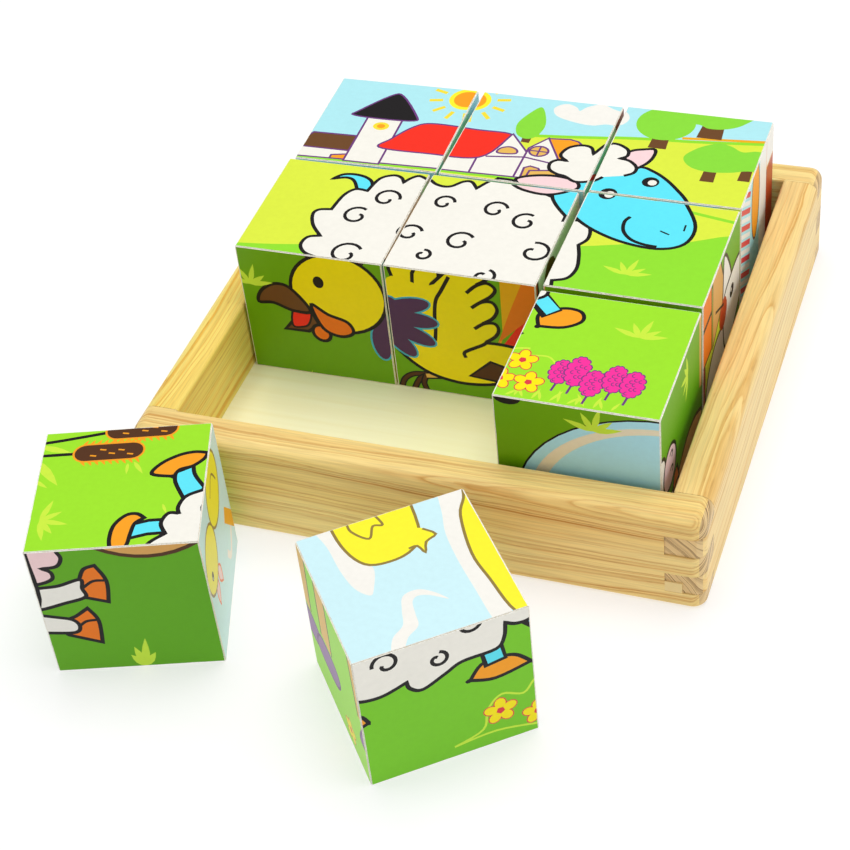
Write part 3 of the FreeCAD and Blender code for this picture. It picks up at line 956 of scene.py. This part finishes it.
def printed_square(art, row, column, number):
    """One paper square: its points, faces and face colours, with the print up and the edge worn."""
    origin = np.array((column * TILE + TILE / 2, (len(PICTURE_ROWS) - 1 - row) * TILE + TILE / 2))
    rim, outward = paper_outline()
    count = len(rim)
    worn = [max(LEAST_BEVEL, EDGE_BEVEL + wobble(number, i, count, EDGE_BEVEL / 2))
            for i in range(count)]
    margin = [BARE_EDGE + max(0, wobble(number + 0.5, i, count, BARE_EDGE)) for i in range(count)]
    lip = rim - outward * np.array(worn)[:, None]
    print_edge = rim - outward * np.array(margin)[:, None]

    corners = [Vector(p) for p in lip] + [Vector(p) for p in print_edge]
    edges = [(i, (i + 1) % count) for i in range(count)]
    edges += [(count + i, count + (i + 1) % count) for i in range(count)]
    shapes = []
    for outline, colour in art.shapes:
        local = outline - origin
        if (local.max(0) < -PRINT_HALF).any() or (local.min(0) > PRINT_HALF).any():
            continue
        shapes.append((local, colour))
        starts, stops = clipped(local, np.roll(local, -1, axis=0), PRINT_HALF)
        for start, stop in zip(starts, stops):
            corners += [Vector(start), Vector(stop)]
            edges.append((len(corners) - 2, len(corners) - 1))
    points, _, faces, sources, _, _ = delaunay_2d_cdt(corners, edges, [], 0, 1e-4)

    flat = np.array([tuple(p) for p in points])
    faces = [tuple(face) for face in faces]
    middles = np.array([flat[list(face)].mean(0) for face in faces])
    colours = np.tile(np.array(INKS["paper"]), (len(faces), 1))
    printed = inside(middles, print_edge)
    for outline, colour in shapes:
        colours[inside(middles, outline) & printed] = INKS[colour]

    place = {}
    for index, origins in enumerate(sources):
        for source in origins:
            if source < count:
                place[source] = index
    solid = [(x, y, 0.0) for x, y in flat]
    base = len(solid)
    solid += [(x, y, -EDGE_BEVEL) for x, y in rim]
    solid += [(x, y, -PAPER) for x, y in rim]
    walls = []
    for i in range(count):
        j = (i + 1) % count
        walls.append((place[i], base + i, base + j, place[j]))
        walls.append((base + i, base + count + i, base + count + j, base + j))
    walls.append(tuple(base + count + i for i in reversed(range(count))))
    colours = np.vstack((colours, np.tile(np.array(INKS["paper"]), (len(walls), 1))))
    return solid, faces + walls, colours


def paper_piece(name, squares, paper):
    """One mesh of one or two printed squares, each with its own place and axes."""
    points, faces, colours = [], [], []
    for (solid, square_faces, square_colours), centre, right, up, out in squares:
        base = len(points)
        points += [centre + (right * x + up * y + out * z) * MM for x, y, z in solid]
        faces += [tuple(base + i for i in face) for face in square_faces]
        colours += list(square_colours)
    mesh = bpy.data.meshes.new(name)
    mesh.from_pydata(points, [], faces)
    inks = mesh.color_attributes.new("Ink", "FLOAT_COLOR", "CORNER")
    sizes = [len(face) for face in faces]
    inks.data.foreach_set("color", np.repeat(np.array(colours), sizes, axis=0).ravel())
    mesh.materials.append(paper)
    return add_object(name, mesh)


def cube_frame(cube):
    """A cube's centre, its outer half size and its own axes, from its CAD pieces."""
    low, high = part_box(f"{cube}_cube_core")
    centre = (low + high) / 2
    front_low, front_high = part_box(f"{cube}_cube_front_picture")
    front = ((front_low + front_high) / 2 - centre).normalized()
    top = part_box(f"{cube}_cube_top_picture")[1].z - centre.z
    return centre, top, Matrix((Z.cross(front), -front, Z)).transposed()


def dress_cube(cube, row, column, number, paper):
    """Replaces a cube's plain papers with printed ones."""
    centre, half, axes = cube_frame(cube)
    rolled = ROLLED.get(cube, Matrix.Identity(3))
    by_node = {}
    for offset, (subject, (look, upright)) in enumerate(WRAP.items()):
        out, up = rolled @ look, rolled @ upright
        node = FACE_NODES[tuple(round(v) for v in out)]
        square = printed_square(PICTURES[subject], row, column, number * 6 + offset)
        out, up = axes @ out, axes @ up
        by_node.setdefault(node, []).append((square, centre + out * half, up.cross(out), up, out))
    for node, squares in by_node.items():
        piece = paper_piece(f"{cube}_printed_{node}", squares, paper)
        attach(piece, f"{cube}_cube")
        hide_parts(f"{cube}_cube_{node}")


# ---------------------------------------------------------------- materials

def cover_with(node, material):
    """Gives a CAD piece that stays its material."""
    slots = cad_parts[node].data.materials
    slots.clear()
    slots.append(material)


class Shader:
    """A material with a Principled shader, and short calls for its nodes."""

    def __init__(self, name, **fixed):
        self.material = bpy.data.materials.new(name)
        self.material.use_nodes = True
        self.tree = self.material.node_tree
        self.surface = self.tree.nodes["Principled BSDF"]
        for socket, value in fixed.items():
            self.surface.inputs[socket.replace("_", " ")].default_value = value
        self.coords = self.node("ShaderNodeTexCoord")

    def node(self, kind, inputs=None, **settings):
        made = self.tree.nodes.new(kind)
        for name, value in settings.items():
            setattr(made, name, value)
        for name, value in (inputs or {}).items():
            if isinstance(value, bpy.types.NodeSocket):
                self.tree.links.new(value, made.inputs[name])
            else:
                made.inputs[name].default_value = value
        return made

    def math(self, operation, a, b=0.0, c=0.0, clamp=False):
        made = self.node("ShaderNodeMath", {0: a, 1: b, 2: c}, operation=operation, use_clamp=clamp)
        return made.outputs[0]

    def noise(self, vector, scale, detail=3.0):
        made = self.node("ShaderNodeTexNoise", {"Vector": vector, "Scale": scale, "Detail": detail})
        return made.outputs["Fac"]

    def stretched_noise(self, vector, scale, detail=3.0, location=(0, 0, 0)):
        """Noise squeezed by its own amount along each axis."""
        return self.noise(self.mapping(vector, location, scale=scale), 1.0, detail)

    def mapping(self, vector, location=(0, 0, 0), rotation=(0, 0, 0), scale=(1, 1, 1)):
        made = self.node("ShaderNodeMapping", {"Vector": vector, "Location": location,
                                               "Rotation": rotation, "Scale": scale})
        return made.outputs[0]

    def ramp(self, factor, stops):
        made = self.node("ShaderNodeValToRGB", {"Fac": factor})
        made.color_ramp.elements[0].position, made.color_ramp.elements[0].color = stops[0]
        made.color_ramp.elements[1].position, made.color_ramp.elements[1].color = stops[-1]
        for position, colour in stops[1:-1]:
            made.color_ramp.elements.new(position).color = colour
        return made.outputs["Color"]

    def mix(self, factor, a, b, blend="MIX"):
        """A mix of two colours, which enter at the node's sockets 6 and 7."""
        made = self.node("ShaderNodeMix", {0: factor, 6: a, 7: b}, data_type="RGBA", blend_type=blend)
        return made.outputs[2]

    def finish(self, colour, roughness, height, strength, distance):
        self.tree.links.new(colour, self.surface.inputs["Base Color"])
        self.tree.links.new(roughness, self.surface.inputs["Roughness"])
        bump = self.node("ShaderNodeBump", {"Height": height, "Strength": strength,
                                            "Distance": distance})
        self.tree.links.new(bump.outputs[0], self.surface.inputs["Normal"])
        return self.material


def grey(value):
    """A grey, or a plain factor, as a colour."""
    return (value, value, value, 1.0)


RING_SWAY = 0.018        # how far the growth rings wander along a board, in metres
RING_RIPPLE = 0.0018     # and how far they waver over a few millimetres
YEAR_SCALE = 260.0       # how quickly good and bad years follow each other, per metre


def pine(name, pith, along_y=False, spacing=0.0024, pale=(255, 234, 168), late=(220, 168, 86),
         contrast=1.0, seed=0.0):
    """Solid pine: growth rings round a pith line, so long grain on the sides and arcs on the ends."""
    wood = Shader(name, Specular_IOR_Level=0.25)
    turn = -math.pi / 2 if along_y else 0.0
    straight = wood.mapping(wood.coords.outputs["Object"], rotation=(0, 0, turn))
    local = wood.mapping(straight, location=(seed, -pith[0], -pith[1]))
    sway = wood.stretched_noise(local, (5, 9, 9), 1.0)
    ripple = wood.stretched_noise(local, (26, 80, 80), 3.0)
    parts = wood.node("ShaderNodeSeparateXYZ", {0: local})
    radius = wood.math("SQRT", wood.math("ADD", wood.math("POWER", parts.outputs[1], 2.0),
                                         wood.math("POWER", parts.outputs[2], 2.0)))
    drift = wood.math("ADD", wood.math("MULTIPLY", sway, RING_SWAY),
                      wood.math("MULTIPLY", ripple, RING_RIPPLE))
    depth = wood.math("ADD", radius, drift)
    years = wood.node("ShaderNodeTexNoise", {"W": wood.math("MULTIPLY", depth, YEAR_SCALE),
                                             "Detail": 1.0}, noise_dimensions="1D").outputs["Fac"]
    phase = wood.math("MULTIPLY_ADD", years, 1.3, wood.math("DIVIDE", depth, spacing))
    ring = wood.math("FRACT", phase)
    dark = wood.ramp(ring, [(0.0, grey(0.35)), (0.12, grey(0.03)), (0.45, grey(0.1)),
                            (0.78, grey(0.45)), (0.94, grey(1.0)), (1.0, grey(0.5))])
    uneven = wood.stretched_noise(local, (12, 210, 210), 2.0, location=(3, 1, 2))
    strength = wood.math("MULTIPLY", wood.math("POWER", uneven, 1.4), 2.3 * contrast)
    shade = wood.math("MULTIPLY", dark, strength, clamp=True)
    colour = wood.mix(shade, ink(*pale), ink(*late))
    fibre = wood.stretched_noise(local, (70, 2400, 2400), 3.0)
    streak = wood.ramp(fibre, [(0.3, grey(0.86)), (0.6, grey(1.03))])
    colour = wood.mix(1.0, colour, streak, "MULTIPLY")
    flecks = wood.stretched_noise(local, (240, 1500, 1500), 1.0)
    fleck = wood.math("MULTIPLY", wood.ramp(flecks, [(0.6, grey(0.0)), (0.72, grey(0.5))]), shade)
    colour = wood.mix(fleck, colour, ink(176, 122, 62))
    patch = wood.ramp(wood.stretched_noise(local, (7, 70, 70)), [
        (0.3, ink(250, 232, 196)), (0.7, ink(255, 255, 255))])
    colour = wood.mix(0.7, colour, patch, "MULTIPLY")
    facing = wood.node("ShaderNodeSeparateXYZ", {0: wood.coords.outputs["Normal"]})
    endwise = wood.math("ABSOLUTE", facing.outputs[1 if along_y else 0])
    end_grain = wood.math("GREATER_THAN", endwise, 0.6)
    arcs = wood.mix(wood.math("POWER", ring, 2.0), ink(236, 204, 146), ink(148, 112, 70))
    colour = wood.mix(end_grain, colour, arcs)
    roughness = wood.math("MULTIPLY_ADD", shade, 0.1, 0.42)
    height = wood.math("ADD", wood.math("MULTIPLY", fibre, 0.6), wood.math("MULTIPLY", shade, 0.4))
    return wood.finish(colour, roughness, height, 0.25, 0.0002)


def board(name, tone, seed):
    """A smooth pale panel with a faint long grain."""
    wood = Shader(name, Specular_IOR_Level=0.2)
    local = wood.mapping(wood.coords.outputs["Object"], location=(seed, seed, 0))
    grain = wood.stretched_noise(local, (9, 420, 60), 4.0)
    cloud = wood.stretched_noise(local, (22, 30, 30))
    colour = wood.mix(wood.ramp(grain, [(0.35, grey(0.0)), (0.7, grey(1.0))]), ink(*tone),
                      ink(tone[0] - 6, tone[1] - 9, tone[2] - 18))
    colour = wood.mix(wood.ramp(cloud, [(0.3, grey(0.0)), (0.7, grey(0.5))]), colour,
                      ink(tone[0], tone[1] - 6, tone[2] - 14))
    roughness = wood.math("ADD", wood.math("MULTIPLY", cloud, 0.12), 0.42)
    return wood.finish(colour, roughness, grain, 0.15, 0.0001)


def printed_paper():
    """Glossy printed paper, with ink from the mesh, a fine dot of the press and bare worn edges."""
    paper = Shader("Printed paper", Specular_IOR_Level=0.2)
    printed = paper.node("ShaderNodeVertexColor", layer_name="Ink")
    place = paper.coords.outputs["Object"]
    mottle = paper.ramp(paper.noise(place, 700.0, detail=4.0), [(0.3, grey(0.975)), (0.7, grey(1.01))])
    colour = paper.mix(1.0, printed.outputs["Color"], mottle, "MULTIPLY")
    soft = paper.ramp(paper.noise(place, 45.0), [(0.3, grey(0.985)), (0.7, grey(1.005))])
    colour = paper.mix(1.0, colour, soft, "MULTIPLY")
    fibres = paper.noise(place, 2600.0, detail=3.0)
    bare = paper.math("SUBTRACT", 1.0, printed.outputs["Alpha"])
    dirt = paper.ramp(fibres, [(0.35, ink(232, 226, 210)), (0.6, ink(250, 248, 240))])
    colour = paper.mix(bare, colour, dirt)
    roughness = paper.math("ADD", paper.math("MULTIPLY", bare, 0.35),
                           paper.math("MULTIPLY_ADD", fibres, 0.14, 0.3))
    height = paper.noise(place, 900.0, detail=2.0)
    return paper.finish(colour, roughness, height, 0.06, 0.0001)


def finish_tray():
    """Puts wood on every CAD piece of the tray. Each rail has its own pith line and tone."""
    front, back, left, right = (sum(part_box(f"{side}_rail"), Vector()) / 2
                                for side in ("front", "back", "left", "right"))
    woods = {
        "front_rail": pine("Pine front rail", (front.y + 0.026, front.z - 0.03), contrast=0.8,
                           spacing=0.0031, pale=(252, 228, 156), late=(210, 154, 74)),
        "back_rail": pine("Pine back rail", (back.y + 0.024, back.z - 0.03), seed=3.1),
        "left_rail": pine("Pine left rail", (-left.x - 0.03, left.z - 0.024), True, seed=1.7,
                          pale=(255, 236, 136), late=(234, 182, 70)),
        "right_rail": pine("Pine right rail", (-right.x + 0.036, right.z - 0.03), True, seed=5.3,
                           spacing=0.0019, pale=(253, 229, 164), contrast=0.75),
        "base_panel": board("Base board", (255, 255, 218), 0.3),
        "groove_plugs": board("Filler wood", (244, 222, 168), 1.3),
    }
    for node, wood in woods.items():
        cover_with(node, wood)


# ---------------------------------------------------------------- studio and camera

def stage_light(name, place, aim, size, energy):
    """A square soft light of a given width in metres and power in watts."""
    light = bpy.data.lights.new(name, "AREA")
    light.shape = "SQUARE"
    light.size = size
    light.energy = energy
    lamp = add_object(name, light)
    lamp.location = place
    lamp.rotation_euler = (Vector(aim) - Vector(place)).to_track_quat("-Z", "Y").to_euler()


def studio():
    """A plain white floor under soft light."""
    half = 3.0           # the floor reaches this far each way
    mesh = bpy.data.meshes.new("studio_floor")
    mesh.from_pydata([(-half, -half, 0), (half, -half, 0), (half, half, 0), (-half, half, 0)], [],
                     [(0, 1, 2, 3)])
    floor = add_object("studio_floor", mesh)
    cover = Shader("Studio floor", Roughness=0.9, Specular_IOR_Level=0.1)
    cover.surface.inputs["Base Color"].default_value = (0.5, 0.5, 0.5, 1)
    cover.surface.inputs["Emission Color"].default_value = (1, 1, 1, 1)
    cover.surface.inputs["Emission Strength"].default_value = 0.55
    mesh.materials.append(cover.material)
    world = bpy.data.worlds.new("Studio")
    world.use_nodes = True
    world.node_tree.nodes["Background"].inputs["Color"].default_value = (1, 1, 1, 1)
    world.node_tree.nodes["Background"].inputs["Strength"].default_value = 0.33
    bpy.context.scene.world = world
    bpy.context.scene.view_settings.view_transform = "Standard"
    stage_light("Top softbox", (0.05, 0.25, 1.5), (0.05, 0.1, 0), 1.2, 16.1)
    stage_light("Front fill", (0.2, -1.3, 0.5), (0, 0, 0.02), 0.8, 1.2)
    stage_light("Right softbox", (1.1, 0.15, 0.5), (0.05, 0, 0.02), 0.7, 3)
    stage_light("Left softbox", (-1.1, -0.2, 0.6), (0, -0.05, 0.02), 0.7, 2)


CAMERA_PLACE = (0.15186, -0.36096, 0.35694)
CAMERA_AZIMUTH = 0.40803     # radians to the left of straight back
CAMERA_TILT = 0.72488        # radians below level
CAMERA_ROLL = -0.11998
CAMERA_LENS = 86.6           # millimetres, on a 36 mm wide sensor


def place_camera():
    """Looks down at the tray from in front and to the right."""
    right = Vector((math.cos(CAMERA_AZIMUTH), math.sin(CAMERA_AZIMUTH), 0))
    forward = Vector((-math.sin(CAMERA_AZIMUTH) * math.cos(CAMERA_TILT),
                      math.cos(CAMERA_AZIMUTH) * math.cos(CAMERA_TILT), -math.sin(CAMERA_TILT)))
    up = right.cross(forward)
    across = right * math.cos(CAMERA_ROLL) + up * math.sin(CAMERA_ROLL)
    upright = up * math.cos(CAMERA_ROLL) - right * math.sin(CAMERA_ROLL)
    camera = add_object("Camera", bpy.data.cameras.new("Camera"))
    camera.data.lens = CAMERA_LENS
    camera.data.sensor_width = 36
    camera.data.clip_start = 0.01
    turn = Matrix((across, upright, -forward)).transposed().to_4x4()
    camera.matrix_world = Matrix.Translation(CAMERA_PLACE) @ turn
    bpy.context.scene.camera = camera


# ---------------------------------------------------------------- the whole set

place_camera()
studio()
finish_tray()
paper = printed_paper()
cube_wood = board("Cube wood", (240, 214, 160), 2.1)
for row, cubes in enumerate(PICTURE_ROWS):
    for column, cube in enumerate(cubes):
        cover_with(f"{cube}_cube_core", cube_wood)
        dress_cube(cube, row, column, row * 3 + column, paper)
